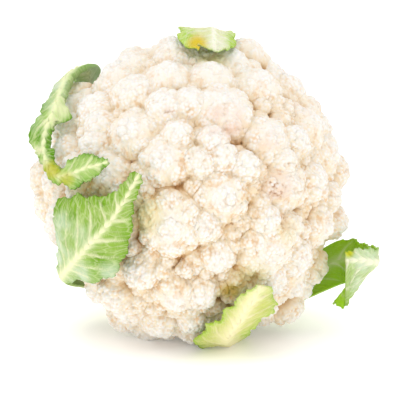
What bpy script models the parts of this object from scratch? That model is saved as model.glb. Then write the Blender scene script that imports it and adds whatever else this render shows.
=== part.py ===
"""A cauliflower, picked and trimmed, lying on its rim with the white head turned up to the front.

The head is a body of florets that grew as one piece. The stalk comes out of its back, and ten
leaves grow from the stalk, pass under the head's rim and wrap it or end behind it.
"""

import math
import random

import bmesh
import bpy
import numpy as np
from mathutils import Vector
from mathutils.bvhtree import BVHTree

MM = 0.001
HEAD_RADIUS = 84 * MM
HEAD_CENTRE = Vector((-7.7813, -0.3271, 80)) * MM  # puts the whole thing over the origin
LEAN = math.radians(45)  # how far the head's own axis rises above the floor, towards the front
SIGHT_DIP = math.radians(12)  # florets and leaves are laid out as seen along a line with this dip
EYE_DISTANCE = 1200 * MM

CORE_RADIUS = 61 * MM
HEAD_TRIANGLES = 9800
FACET_SWELL = 1.04  # a ball of few facets is made this much larger, to reach as far as a round one

STALK_RADIUS = 20 * MM
STALK_TOP = -50.3 * MM  # places along the head's axis, from the head's centre
STALK_END = -85 * MM
RIM_LEVEL = -0.45  # florets end where their direction drops under this share of the radius

RIGHT = Vector((1, 0, 0))
UP = Vector((0, math.sin(SIGHT_DIP), math.cos(SIGHT_DIP)))
TOWARD = Vector((0, -math.cos(SIGHT_DIP), math.sin(SIGHT_DIP)))
AXIS = Vector((0, -math.cos(LEAN), math.sin(LEAN)))
ABOVE_AXIS = Vector((0, math.sin(LEAN), math.cos(LEAN)))

# The florets that show from the front, in millimetres: across and up from the head's centre, and
# radius. A fourth number lifts a floret out of the head, or sinks it.
FRONT_FLORETS = [
    (-9, -16, 20, 2), (36, -28, 19, 2), (-13, 15, 13.5), (16, -4, 14.5), (-29, 28, 14.5),
    (48, 2, 14.5), (40, 26, 13), (16, 38, 18), (35, 53, 13), (-11, 58, 12),
    (11, 58, 12), (-37, 56, 14), (-13, 44, 10), (-50, 41, 11), (-62, 48, 10),
    (-65, 32, 9), (-49, 34, 8), (-51, 24, 9), (-66, 21, 9), (-77, 7, 11),
    (-42, 8, 12), (-74, -8, 11), (66, -18, 12), (77, -17, 9), (65, 4, 10),
    (77, 10, 10), (57, 26, 8), (60, 41, 12), (53, 53, 10), (29, 69, 14),
    (43, 63, 8), (-7, 68, 13), (-31, 63, 12), (-7, 30, 7), (18, 18, 7),
    (30, 13, 7), (5, 15, 7), (13, 27, 7), (0, 47, 8), (15, -35, 9, -1),
    (23, -50, 8, -5), (41, -17, 8), (53, -21, 8), (3, -38, 8, -7), (8, -20, 8),
    (-18, -59, 23), (-26, -44, 9), (-7, -54, 12, 1), (6, -55, 9), (-40, -56, 10, 2),
    (-34, -67, 11, 1), (-16, -69, 11, 1), (2, -70, 8), (64, -41, 11), (58, -52, 9),
    (52, -63, 10), (50, -55, 8, -2), (75, -4, 8), (72, 24, 9), (68, 34, 9),
    (51, 15, 7), (-62, 11, 8), (-57, 0, 10), (-69, -20, 11), (-55, -19, 13),
    (-44, -34, 13), (-58, -38, 11), (33, -66, 9, -9), (18, -62, 9, -9),
]  # fmt: skip

SEED = 11
# Where the large left leaf's rib presses on the head: a place right, up and forward of the head's
# centre, the angle round it that is pressed in, and how deep.
PRESSED = (Vector((-70, -49, -4)), math.radians(27), 8 * MM)
BACK_LATTICE = 190
BACK_RADIUS = (11 * MM, 15 * MM)
BACK_SPACING = 0.63  # of the sum of two radii
LUMPY_FROM = 11.9 * MM  # florets this large show their own smaller lumps
LUMP_FLOOR = 0.91  # between its lumps such a floret reaches this share of its radius
LUMP_TOP = 1.06


def catmull_rom(knots, share):
    """The point at this share, from 0 to 1, of a smooth curve through the knots."""
    spans = len(knots) - 1
    at = min(share, 1 - 1e-9) * spans
    i = int(at)
    t = at - i
    before = knots[i - 1] if i > 0 else knots[0] * 2 - knots[1]
    after = knots[i + 2] if i + 2 <= spans else knots[-1] * 2 - knots[-2]
    a, b = knots[i], knots[i + 1]
    return 0.5 * (
        2 * a + (b - before) * t
        + (2 * before - 5 * a + 4 * b - after) * t**2
        + (3 * (a - b) + after - before) * t**3
    )  # fmt: skip


def seen(across, up, reach):
    """The point this far from the head's centre that an eye in front sees across and up of it."""
    depth = reach
    for _ in range(20):
        shrink = 1 - depth / EYE_DISTANCE
        depth = math.sqrt(max(reach**2 - (across**2 + up**2) * shrink**2, 0))
    return (RIGHT * across + UP * up) * shrink + TOWARD * depth


def round_axis(azimuth, radius, along):
    """A point given by its angle round the head's axis, its distance from it and its place along it."""
    angle = math.radians(azimuth)
    return (RIGHT * math.cos(angle) + ABOVE_AXIS * math.sin(angle)) * radius + AXIS * along


def sphere_directions(count):
    """Directions spread evenly over a sphere, by the golden angle."""
    golden = math.pi * (3 - math.sqrt(5))
    for i in range(count):
        level = 1 - (2 * i + 1) / count
        flat = math.sqrt(1 - level**2)
        yield Vector((flat * math.cos(golden * i), flat * math.sin(golden * i), level))


def pressed_in(centre):
    """A floret's centre, moved in where a leaf's rib lies against the head."""
    (across, up, toward), wide, deep = PRESSED
    angle = centre.angle(RIGHT * across + UP * up + TOWARD * toward)
    return centre - centre.normalized() * (deep * max(1 - (angle / wide) ** 2, 0))


def placed_florets():
    """Every floret as (centre from the head's centre, radius): the front ones, then a filling for the rest."""
    florets = []
    for across, up, radius, *lift in FRONT_FLORETS:
        reach = HEAD_RADIUS - radius * MM + sum(lift) * MM
        florets.append((seen(across * MM, up * MM, reach), radius * MM))
    draw = random.Random(SEED)
    for direction in sphere_directions(BACK_LATTICE):
        radius = draw.uniform(*BACK_RADIUS)
        if direction.dot(AXIS) < RIM_LEVEL:
            continue
        centre = direction * (HEAD_RADIUS - radius)
        if all((centre - other).length > BACK_SPACING * (radius + size) for other, size in florets):
            florets.append((centre, radius))
    return [(pressed_in(centre), radius) for centre, radius in florets]


def lumps_on(centre, radius):
    """The smaller lumps that stand out of a large floret, as (centre, radius)."""
    outward = centre.normalized()
    turn = outward.to_track_quat("Z", "Y")
    rings = [(0, 1), (58, 5)] if radius < 17 * MM else [(0, 1), (42, 6), (80, 9)]
    size = radius * (0.52 if radius < 17 * MM else 0.4)
    for tilt, count in rings:
        for i in range(count):
            angle = math.tau * (i + 0.37 * tilt) / count
            tip = Vector((math.cos(angle), math.sin(angle), 0)) * math.sin(math.radians(tilt))
            tip.z = math.cos(math.radians(tilt))
            yield centre + turn @ tip * (radius * LUMP_TOP - size), size


def head_spheres():
    spheres = []
    for centre, radius in placed_florets():
        if radius > LUMPY_FROM:
            spheres.append((centre, radius * LUMP_FLOOR))
            spheres.extend(lumps_on(centre, radius))
        else:
            spheres.append((centre, radius))
    return spheres


class Outline:
    """How far the head's florets reach in a direction from its centre."""

    def __init__(self, spheres):
        self.centres = np.array([centre for centre, _ in spheres])
        self.radii = np.array([radius for _, radius in spheres])

    def reach(self, directions):
        along = directions @ self.centres.T
        inside = self.radii**2 - ((self.centres**2).sum(1) - along**2)
        far = np.where(inside > 0, along + np.sqrt(np.maximum(inside, 0)), 0)
        return far.max(axis=-1)


def new_object(name, mesh, collection):
    made = bpy.data.objects.new(name, mesh)
    collection.objects.link(made)
    return made


def finish(name, colour, roughness):
    material = bpy.data.materials.new(name)
    material.use_nodes = True
    shader = material.node_tree.nodes["Principled BSDF"]
    shader.inputs["Base Color"].default_value = (*colour, 1)
    shader.inputs["Roughness"].default_value = roughness
    shader.inputs["Metallic"].default_value = 0
    return material


def keep_smooth(obj, sharp_angle=math.radians(40)):
    obj.data.shade_smooth()
    obj.data.set_sharp_from_angle(angle=sharp_angle)


def apply_modifiers(obj):
    graph = bpy.context.evaluated_depsgraph_get()
    solid = bpy.data.meshes.new_from_object(obj.evaluated_get(graph))
    obj.modifiers.clear()
    obj.data = solid


def turned_mesh(name, profile, segments):
    """A solid turned round the head's axis from (radius, place along it) points, front to back."""
    bm = bmesh.new()
    points = [bm.verts.new((radius, 0, along)) for radius, along in profile]
    edges = [bm.edges.new(pair) for pair in zip(points, points[1:])]
    bmesh.ops.spin(
        bm, geom=points + edges, cent=(0, 0, 0), axis=(0, 0, 1),
        angle=math.tau, steps=segments, use_merge=True,
    )  # fmt: skip
    bmesh.ops.remove_doubles(bm, verts=bm.verts, dist=0.05 * MM)
    bmesh.ops.recalc_face_normals(bm, faces=bm.faces)
    bmesh.ops.rotate(bm, verts=bm.verts, matrix=AXIS.to_track_quat("Z", "Y").to_matrix())
    bmesh.ops.translate(bm, verts=bm.verts, vec=HEAD_CENTRE)
    mesh = bpy.data.meshes.new(name)
    bm.to_mesh(mesh)
    bm.free()
    return mesh


def ball_mesh(centre, radius):
    """A floret's ball, its inner half drawn out until it stands in the core."""
    bm = bmesh.new()
    bmesh.ops.create_icosphere(bm, subdivisions=2, radius=radius * FACET_SWELL)
    drawn_out = max((centre.length - CORE_RADIUS + 4 * MM) / radius, 1)
    for vert in bm.verts:
        if vert.co.z < 0:
            vert.co.z *= drawn_out
    turn = centre.normalized().to_track_quat("Z", "Y").to_matrix()
    bmesh.ops.rotate(bm, verts=bm.verts, matrix=turn)
    bmesh.ops.translate(bm, verts=bm.verts, vec=HEAD_CENTRE + centre)
    mesh = bpy.data.meshes.new("ball")
    bm.to_mesh(mesh)
    bm.free()
    return mesh


def keep_outer_shell(obj):
    """Drops the closed hollows that are left inside, where florets meet over a gap."""
    bm = bmesh.new()
    bm.from_mesh(obj.data)
    kept = max(bm.verts, key=lambda vert: vert.co.z)
    outer = {kept}
    edge = [kept]
    while edge:
        vert = edge.pop()
        for link in vert.link_edges:
            other = link.other_vert(vert)
            if other not in outer:
                outer.add(other)
                edge.append(other)
    bmesh.ops.delete(bm, geom=[vert for vert in bm.verts if vert not in outer], context="VERTS")
    bm.to_mesh(obj.data)
    bm.free()


def untangle(obj):
    """Smooths the few places where faces cross after the thinning."""
    bm = bmesh.new()
    bm.from_mesh(obj.data)
    for _ in range(40):
        bm.faces.ensure_lookup_table()
        tree = BVHTree.FromBMesh(bm)
        tangled = set()
        for i, j in tree.overlap(tree):
            if i < j and not set(bm.faces[i].verts) & set(bm.faces[j].verts):
                tangled.update(bm.faces[i].verts)
                tangled.update(bm.faces[j].verts)
        if not tangled:
            break
        for _ in range(2):
            tangled |= {link.other_vert(vert) for vert in tangled for link in vert.link_edges}
        bmesh.ops.smooth_vert(
            bm, verts=list(tangled), factor=0.6,
            use_axis_x=True, use_axis_y=True, use_axis_z=True,
        )  # fmt: skip
    bm.to_mesh(obj.data)
    bm.free()


def make_head(collection, material):
    """One solid: every floret is a ball sunk in a core that narrows to the stalk."""
    rounds = [
        (CORE_RADIUS * math.sin(math.radians(a)), CORE_RADIUS * math.cos(math.radians(a)))
        for a in range(0, 111, 10)
    ]
    under = [(46 * MM, -37 * MM), (26 * MM, STALK_TOP + 0.3 * MM), (0, STALK_TOP + 0.3 * MM)]
    head = new_object("head", turned_mesh("head", rounds + under, 28), collection)
    head.data.materials.append(material)
    repeats = bpy.data.collections.new("floret balls")
    bpy.context.scene.collection.children.link(repeats)
    for centre, radius in head_spheres():
        new_object("ball", ball_mesh(centre, radius), repeats)
    union = head.modifiers.new("florets", "BOOLEAN")
    union.operand_type = "COLLECTION"
    union.collection = repeats
    union.operation = "UNION"
    union.solver = "MANIFOLD"
    apply_modifiers(head)
    for ball in list(repeats.objects):
        bpy.data.objects.remove(ball)
    bpy.data.collections.remove(repeats)
    keep_outer_shell(head)
    fewer = head.modifiers.new("fewer slivers", "DECIMATE")
    fewer.ratio = min(HEAD_TRIANGLES / (2 * len(head.data.vertices)), 1)
    fewer.use_collapse_triangulate = True
    apply_modifiers(head)
    cut_at_floor(head)
    untangle(head)
    keep_smooth(head)
    return head


def cut_at_floor(obj):
    """Flattens what presses on the floor."""
    bm = bmesh.new()
    bm.from_mesh(obj.data)
    cut = bmesh.ops.bisect_plane(
        bm, geom=bm.verts[:] + bm.edges[:] + bm.faces[:], dist=1e-6,
        plane_co=(0, 0, 0), plane_no=(0, 0, -1), clear_outer=True,
    )["geom_cut"]  # fmt: skip
    edges = [item for item in cut if isinstance(item, bmesh.types.BMEdge)]
    if edges:
        bmesh.ops.triangle_fill(bm, edges=edges, use_beauty=True)
    bmesh.ops.triangulate(bm, faces=bm.faces)
    bmesh.ops.recalc_face_normals(bm, faces=bm.faces)
    bm.to_mesh(obj.data)
    bm.free()


def make_stalk(collection, material):
    bevel = 2 * MM
    profile = [
        (0, STALK_TOP), (STALK_RADIUS + 2 * MM, STALK_TOP), (STALK_RADIUS, STALK_TOP - 8 * MM),
        (STALK_RADIUS - 1 * MM, STALK_END + bevel), (STALK_RADIUS - bevel * 1.5, STALK_END),
        (0, STALK_END),
    ]  # fmt: skip
    stalk = new_object("stalk", turned_mesh("stalk", profile, 28), collection)
    stalk.data.materials.append(material)
    keep_smooth(stalk)
    return stalk


# A leaf's foot on the stalk and its way under the head's rim: distance from the head's axis and
# place along it, in millimetres. Leaves of the outer tier start lower on the stalk.
FOOT = [(21.5, -60), (40, -59), (61, -51), (78, -35)]
OUTER_FOOT = [(21.5, -73), (40, -71), (62, -60), (80, -41)]


def along_axis(azimuth, stations):
    return [round_axis(azimuth, radius * MM, along * MM) for radius, along in stations]


def foot(azimuth, outer, stations=4):
    return along_axis(azimuth, (OUTER_FOOT if outer else FOOT)[:stations])


def spread(points):
    return [seen(across * MM, up * MM, reach * MM) for across, up, reach in points]


def sight(points):
    return [(RIGHT * a + UP * b + TOWARD * c) * MM for a, b, c in points]


# Each leaf: its way from the stalk to its tip, then its width at stations along that way as
# (share of the way, left half, right half) in millimetres, seen from the stalk with the outside up.
# A slant draws the right half's edge back to the left, as a share of the distance from the rib.
LEAVES = {
    "leaf_left_large": {
        "way": along_axis(212, OUTER_FOOT[:2])
        + sight([(-56, -49, -38), (-67, -47, -14), (-68, -46, 18)])
        + spread([(-62, -38, 90), (-53, -28, 92), (-43, -17, 92), (-34, -3, 92), (-28, 9, 91)]),
        "widths": [(0, 9.5, 9.5), (0.2, 11, 11), (0.33, 8, 8), (0.44, 5, 6), (0.49, 8, 13),
                   (0.555, 17, 26), (0.61, 21, 32), (0.667, 22, 30), (0.72, 18, 26), (0.778, 14, 20),
                   (0.84, 9, 11), (0.889, 5, 7.5), (0.95, 4, 6), (1, 2, 3)],
        "grid": (22, 8), "ruffle": 1.6, "waves": 5, "teeth": 0.1,
    },
    "leaf_upper_left": {
        "way": foot(136, True)
        + sight([(-60, 52, -48), (-58, 66, -18), (-66, 61, 8)])
        + spread([(-73, 46, 91), (-79, 31, 91), (-79, 18, 90), (-74, 9, 90), (-68, 8, 91),
                  (-57, 12, 92), (-45, 15.5, 93)]),
        "outside": [(0.35, -0.6, 0.8, -0.2), (0.5, -0.4, 0.5, 0.8), (0.7, -0.5, 0.1, 0.85),
                    (0.85, -0.5, 0, 0.9), (1, -0.4, 0, 1)],
        "widths": [(0, 9.5, 9.5), (0.25, 12, 12), (0.36, 9, 9), (0.4, 7, 5), (0.49, 9, 4),
                   (0.53, 10, 4), (0.56, 10, 12), (0.585, 10, 4), (0.61, 12, 4), (0.63, 13, 4),
                   (0.66, 7, 4), (0.69, 5, 7), (0.72, 4, 4), (0.78, 6, 5), (0.82, 4, 4),
                   (0.87, 9, 8), (0.91, 8, 9), (0.95, 6, 7), (1, 2, 2)],
        "grid": (30, 6), "ruffle": 0.6, "waves": 6, "teeth": 0.1,
    },
    "leaf_top": {
        "way": foot(84, True)
        + along_axis(82, [(89, -10)])
        + sight([(12.5, 85, -28), (12.5, 87, 2), (12.5, 82, 28), (13, 73, 49)]),
        "widths": [(0, 9.5, 9.5), (0.3, 13, 13), (0.65, 15, 13), (0.82, 20, 13), (0.93, 20, 13),
                   (1, 9, 7)],
        "grid": (18, 8), "ruffle": 1, "waves": 4, "teeth": 0.14,
    },
    "leaf_right": {
        "way": foot(326, False, 3)
        + sight([(84, -40, -24), (94, -39, -16), (101, -39, -4), (101, -39, 10), (93, -38, 17),
                 (84, -38, 20)]),
        "hug": 400 * MM,
        "outside": [(0.2, 0.5, -0.6, -0.6), (0.37, 0.8, -0.2, -0.8), (0.5, 1, 0, -0.5),
                    (0.75, 0.8, 0, 0.8), (1, 0.2, 0, 1)],
        "widths": [(0, 9.5, 9.5), (0.25, 12, 12), (0.37, 12, 14), (0.45, 12, 15), (0.54, 10, 17),
                   (0.62, 9, 18), (0.75, 8, 22), (0.9, 7, 27), (1, 5, 25)],
        "slant": [(0.45, 0), (0.68, 0.75), (0.8, 0.7), (1, 0)],
        "grid": (22, 8), "ruffle": 0.7, "waves": 3, "teeth": 0.08,
    },
    "leaf_bottom": {
        "way": along_axis(286, [(21.5, -73), (40, -66), (61, -53), (78, -36)])
        + spread([(20, -80.5, 89), (26, -72, 90.5), (32, -62.5, 91.5), (39, -52.5, 92)]),
        "widths": [(0, 9.5, 9.5), (0.3, 10, 12), (0.45, 12, 18), (0.571, 14, 18), (0.65, 16, 15.5),
                   (0.76, 20, 12), (0.84, 21, 9), (0.92, 17, 7), (1, 9, 4)],
        "grid": (18, 8), "ruffle": 0.8, "waves": 4, "teeth": 0.14,
    },
}  # fmt: skip

# Leaves that were cut off short behind the head.
SHORT_LEAVES = {
    "leaf_back_right": foot(5, True),
    "leaf_back_upper_right": foot(45, False),
    "leaf_back_top": foot(113, False),
    "leaf_back_left": foot(180, False),
    "leaf_back_bottom": along_axis(251.5, [(21.5, -60), (36, -65), (51, -70)]),
}


def blend_rows(rows, share):
    """The values at this share, between rows that each start with their own share."""
    for (a, *low), (b, *high) in zip(rows, rows[1:]):
        if share <= b:
            t = max(share - a, 0) / (b - a)
            t = t * t * (3 - 2 * t)
            return [p + (q - p) * t for p, q in zip(low, high)]
    return rows[-1][1:]


def settled(points, outline, half_thickness):
    """Lifts a leaf's points off the florets under it and off the floor, smoothly."""
    distance = np.linalg.norm(points, axis=-1)
    wanted = outline.reach(points / distance[..., None]) + half_thickness + 2.6 * MM
    push = np.maximum(wanted - distance, 0)
    padded = np.pad(push, 1, mode="edge")
    rows, columns = push.shape
    near = [padded[i : i + rows, j : j + columns] for i in range(3) for j in range(3)]
    padded = np.pad(np.max(near, axis=0), 1, mode="edge")
    near = [padded[i : i + rows, j : j + columns] for i in range(3) for j in range(3)]
    push = np.mean(near, axis=0)
    points = points * ((distance + push) / distance)[..., None]
    floor = half_thickness * 0.9 - HEAD_CENTRE.z
    points[..., 2] = np.maximum(points[..., 2], floor)
    return points


def leaf_thickness(share, offset):
    """Thick at the rib, thin in the blade. Offset is the distance from the rib."""
    rib_height = (7 - 5 * share) * MM
    rib_width = (10 - 8.2 * share) * MM
    blade = 1.2 * MM
    return blade + max(rib_height - blade, 0) * math.exp(-((offset / rib_width) ** 2) * 1.6)


def leaf_grid(leaf, outline):
    """Points of a leaf's middle surface, and its thickness at each."""
    rows, columns = leaf["grid"]
    radius = leaf.get("hug", HEAD_RADIUS * 1.08)
    points = np.zeros((rows + 1, columns + 1, 3))
    thickness = np.zeros((rows + 1, columns + 1))
    for i in range(rows + 1):
        share = i / rows
        at = catmull_rom(leaf["way"], share)
        ahead = catmull_rom(leaf["way"], min(share + 0.01, 1))
        behind = catmull_rom(leaf["way"], max(share - 0.01, 0))
        along = (ahead - behind).normalized()
        outside = at.normalized()
        if share > leaf.get("outside", [(1,)])[0][0]:
            hint = Vector(blend_rows(leaf["outside"], share))
            outside = RIGHT * hint.x + UP * hint.y + TOWARD * hint.z
        side = outside.cross(along).normalized()
        outside = along.cross(side)
        tooth = 1 - leaf["teeth"] * (i % 2) * (share > 0.4)
        left, right = (half * tooth for half in blend_rows(leaf["widths"], share))
        slant = blend_rows(leaf.get("slant", [(0, 0), (1, 0)]), share)[0]
        for j in range(columns + 1):
            cross = 2 * j / columns - 1
            cross = math.copysign(abs(cross) ** 1.4, cross)
            offset = cross * (right if cross > 0 else left) * MM
            bend = offset / radius
            spot = at + side * (math.sin(bend) * radius) - outside * ((1 - math.cos(bend)) * radius)
            spot -= RIGHT * (slant * max(offset, 0))
            wave = math.sin(math.tau * leaf["waves"] * share + (2.1 if cross > 0 else 0))
            free = min(max((share - 0.35) * 4, 0), 1)
            spot += outside * (leaf["ruffle"] * MM * wave * abs(cross) ** 2 * free)
            points[i, j] = spot
            thickness[i, j] = leaf_thickness(share, abs(offset))
    return settled(points, outline, thickness / 2), thickness


def make_leaf(name, leaf, outline, collection, material):
    """A thin curved blade with a thick rib, closed by giving its middle surface a thickness."""
    points, thickness = leaf_grid(leaf, outline)
    rows, columns = leaf["grid"]
    bm = bmesh.new()
    bmesh.ops.create_grid(bm, x_segments=rows, y_segments=columns, size=0.5)
    thickest = 8 * MM
    least = 0.1
    layer = bm.verts.layers.deform.verify()
    for vert in bm.verts:
        i = round((vert.co.x + 0.5) * rows)
        j = round((vert.co.y + 0.5) * columns)
        vert.co = HEAD_CENTRE + Vector(points[i, j])
        vert[layer][0] = (thickness[i, j] / thickest - least) / (1 - least)
    bmesh.ops.triangulate(bm, faces=bm.faces, quad_method="ALTERNATE")
    mesh = bpy.data.meshes.new(name)
    bm.to_mesh(mesh)
    bm.free()
    obj = new_object(name, mesh, collection)
    obj.vertex_groups.new(name="thickness")
    solid = obj.modifiers.new("thickness", "SOLIDIFY")
    solid.thickness = thickest
    solid.offset = 0
    solid.vertex_group = "thickness"
    solid.thickness_vertex_group = least
    apply_modifiers(obj)
    for vert in obj.data.vertices:
        vert.co.z = max(vert.co.z, 0)
    obj.data.materials.append(material)
    keep_smooth(obj)
    return obj


def short_leaf(way):
    return {
        "way": way,
        "widths": [(0, 9.5, 9.5), (0.4, 11, 11), (1, 13, 13)],
        "grid": (8, 6), "ruffle": 0, "waves": 1, "teeth": 0.08,
    }  # fmt: skip


def main():
    for old in list(bpy.data.objects):
        bpy.data.objects.remove(old)
    cauliflower = bpy.data.collections.new("cauliflower")
    bpy.context.scene.collection.children.link(cauliflower)
    balls = [(centre, radius * FACET_SWELL) for centre, radius in head_spheres()]
    outline = Outline(balls + [(centre * 0.85, radius) for centre, radius in balls])
    make_head(cauliflower, finish("curd", (0.87, 0.8, 0.7), 0.6))
    make_stalk(cauliflower, finish("stalk", (0.72, 0.78, 0.5), 0.5))
    leaf_finish = finish("leaf", (0.3, 0.52, 0.12), 0.5)
    for name, leaf in LEAVES.items():
        make_leaf(name, leaf, outline, cauliflower, leaf_finish)
    for name, way in SHORT_LEAVES.items():
        make_leaf(name, short_leaf(way), outline, cauliflower, leaf_finish)


main()
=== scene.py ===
import math
import random

import bmesh
import bpy
import numpy as np
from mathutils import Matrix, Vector, kdtree


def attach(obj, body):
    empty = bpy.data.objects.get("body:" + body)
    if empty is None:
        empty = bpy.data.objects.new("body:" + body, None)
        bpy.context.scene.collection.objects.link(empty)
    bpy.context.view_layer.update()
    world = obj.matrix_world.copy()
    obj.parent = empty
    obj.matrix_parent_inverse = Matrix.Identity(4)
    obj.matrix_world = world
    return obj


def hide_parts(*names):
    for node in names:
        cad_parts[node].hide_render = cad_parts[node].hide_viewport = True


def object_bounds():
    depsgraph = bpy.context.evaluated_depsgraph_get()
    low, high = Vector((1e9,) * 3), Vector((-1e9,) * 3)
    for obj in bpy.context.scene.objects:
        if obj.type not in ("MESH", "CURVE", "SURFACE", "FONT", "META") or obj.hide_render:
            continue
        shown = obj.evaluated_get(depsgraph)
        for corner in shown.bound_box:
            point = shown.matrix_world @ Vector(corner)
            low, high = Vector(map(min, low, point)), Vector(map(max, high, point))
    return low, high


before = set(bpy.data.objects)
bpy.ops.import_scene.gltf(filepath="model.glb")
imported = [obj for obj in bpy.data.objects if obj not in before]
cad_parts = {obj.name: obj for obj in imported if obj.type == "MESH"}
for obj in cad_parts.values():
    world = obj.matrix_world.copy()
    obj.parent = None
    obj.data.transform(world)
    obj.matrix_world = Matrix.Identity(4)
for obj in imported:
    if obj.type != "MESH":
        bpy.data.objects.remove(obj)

cadBox = [list(corner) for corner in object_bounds()]
print("loaded", sorted(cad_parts))

# Lengths in the dictionaries are in millimetres, angles in degrees.
mm = 0.001

pose = {
    "headCentre": (-7.7813, -0.3271, 80),
    "headRadius": 84,
    "lean": 45,  # the head's own axis above the floor
    "sightDip": 12,  # the camera looks down by this much
    "eyeDistance": 1200,
    "frameWidth": 220,  # what the picture's width covers at the head's centre
    "aside": (0.025, -0.025),  # the head sits a little left of and above the picture's centre
}

headCentre = np.array(pose["headCentre"], float)
dip = math.radians(pose["sightDip"])
lean = math.radians(pose["lean"])
right = np.array((1.0, 0, 0))
up = np.array((0, math.sin(dip), math.cos(dip)))
toward = np.array((0, -math.cos(dip), math.sin(dip)))
axis = np.array((0, -math.cos(lean), math.sin(lean)))
aboveAxis = np.array((0, math.sin(lean), math.cos(lean)))


def seen(across, above, reach):  # the point at this reach that the camera sees across and above
    depth = reach
    for _ in range(20):
        shrink = 1 - depth / pose["eyeDistance"]
        depth = math.sqrt(max(reach**2 - (across**2 + above**2) * shrink**2, 0))
    return (right * across + up * above) * shrink + toward * depth


def inSight(points):
    return [right * a + up * b + toward * c for a, b, c in points]


def spread(points):
    return [seen(*point) for point in points]


def alongAxis(azimuth, stations):  # stations are (distance from the axis, place along it)
    angle = math.radians(azimuth)
    out = right * math.cos(angle) + aboveAxis * math.sin(angle)
    return [out * radius + axis * along for radius, along in stations]


def sphereDirections(count):
    level = 1 - (2 * np.arange(count) + 1) / count
    turn = math.pi * (3 - math.sqrt(5)) * np.arange(count)
    flat = np.sqrt(1 - level**2)
    return np.stack([flat * np.cos(turn), flat * np.sin(turn), level], axis=1)


def smoothStep(low, high, value):
    t = np.clip((value - low) / (high - low), 0, 1)
    return t * t * (3 - 2 * t)


# The curd: florets as balls, each with lumps, buds and beads on it

curd = {
    "front": [  # (across, above, radius) and, for some, how far it stands out
        (-9, -16, 20, 2), (36, -28, 19, 2), (-13, 15, 13.5), (16, -4, 14.5), (-29, 28, 14.5),
        (48, 2, 14.5), (40, 26, 13), (16, 38, 18), (35, 53, 13), (-11, 58, 12),
        (11, 58, 12), (-37, 56, 14), (-13, 44, 10), (-50, 41, 11), (-62, 48, 10),
        (-65, 32, 9), (-49, 34, 8), (-51, 24, 9), (-66, 21, 9), (-77, 7, 11),
        (-42, 8, 12), (-74, -8, 11), (66, -18, 12), (77, -17, 9), (65, 4, 10),
        (77, 10, 10), (57, 26, 8), (60, 41, 12), (53, 53, 10), (29, 69, 14),
        (43, 63, 8), (-7, 68, 13), (-31, 63, 12), (-7, 30, 7), (18, 18, 7),
        (30, 13, 7), (5, 15, 7), (13, 27, 7), (0, 47, 8), (15, -35, 9, -1),
        (23, -50, 8, -5), (41, -17, 8), (53, -21, 8), (3, -38, 8, -7), (8, -20, 8),
        (-18, -59, 23), (-26, -44, 9), (-7, -54, 12, 1), (6, -55, 9), (-40, -56, 10, 2),
        (-34, -67, 11, 1), (-16, -69, 11, 1), (2, -70, 8), (64, -41, 11), (58, -52, 9),
        (52, -63, 10), (50, -55, 8, -2), (75, -4, 8), (72, 24, 9), (68, 34, 9),
        (51, 15, 7), (-62, 11, 8), (-57, 0, 10), (-69, -20, 11), (-55, -19, 13),
        (-44, -34, 13), (-58, -38, 11), (33, -66, 9, -9), (18, -62, 9, -9),
    ],
    "filled": [(46, -60, 9, -1), (41, -65, 9, -4), (55, -57, 8, -1)],  # small ones low on the right
    "seed": 11,
    "pressed": ((-70, -49, -4), 27, 8),  # a place under a leaf's rib, how wide and how deep it is
    "backLattice": 190,  # directions tried for the florets that the camera doesn't see
    "backRadius": (11, 15),
    "backSpacing": 0.63,  # the least that two of them are apart, as a share of their radii together
    "rim": -0.45,  # no floret points further back than this share of the radius
    "lumpyFrom": 11.9,  # florets from this radius on carry lumps
    "largeFrom": 17,
    "lumps": [(0, 1), (58, 5)],  # rings of lumps: how far from the floret's top, and how many
    "lumpsLarge": [(0, 1), (42, 6), (80, 9)],
    "lumpSize": 0.52,
    "lumpSizeLarge": 0.4,
    "lumpFloor": 0.91,  # how far the CAD's florets fill out between their lumps
    "domeFloor": (0.98, 0.94),  # and how far the large and the middle ones here do
    "lumpTop": 1.06,
    "solidSwell": 1.04,  # the leaves are laid over florets this much larger
    "flatten": (1.36, 0.02, 0.17),  # domes are wider than the balls, small ones and high ones most
    "fillers": dict(count=1100, radius=6, reach=78.6, stray=0.02, sizes=(0.85, 1.2), uneven=1.5,
                    clear=0.88),  # small buds in the gaps, off this share of a lumpy floret's disc
    # Round bumps: how wide each is in spacings, the height that the surface stays at, and their unevenness.
    "bud": dict(spacing=4.9, height=1.9, wide=0.7, middle=0.5, uneven=0.25),
    "bead": dict(spacing=1.85, height=0.65, wide=0.62, middle=0.45, uneven=0.3),
    "calm": 0.35,  # how much lower they are where the curd faces up
    "seam": 0.7,  # buds and beads flatten this near to where two florets meet
    "soft": 1.6,  # how far from there the surfaces run into one another
    "creaseShade": 1.3,  # how far from there the painted shade of the crease reaches
    "grid": {"front": 296, "lower": 296, "left": 270, "right": 270, "upper": 190, "back": 130},
    "gridQuick": 150,
}  # fmt: skip


def pressedIn(centre):  # the florets under a heavy leaf stand back
    place, wide, deep = curd["pressed"]
    middle = inSight([place])[0]
    length = np.linalg.norm(centre)
    angle = math.acos(centre @ middle / (length * np.linalg.norm(middle)))
    return centre * (1 - deep * max(1 - (angle / math.radians(wide)) ** 2, 0) / length)


def placedFlorets():
    florets = []
    for across, above, radius, *lift in curd["front"]:
        florets.append((seen(across, above, pose["headRadius"] - radius + sum(lift)), radius))
    draw = random.Random(curd["seed"])
    for direction in sphereDirections(curd["backLattice"]):
        radius = draw.uniform(*curd["backRadius"])
        if direction @ axis < curd["rim"]:
            continue
        centre = direction * (pose["headRadius"] - radius)
        apart = curd["backSpacing"]
        if all(np.linalg.norm(centre - c) > apart * (radius + r) for c, r in florets):
            florets.append((centre, radius))
    return [(pressedIn(centre), radius) for centre, radius in florets]


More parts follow.
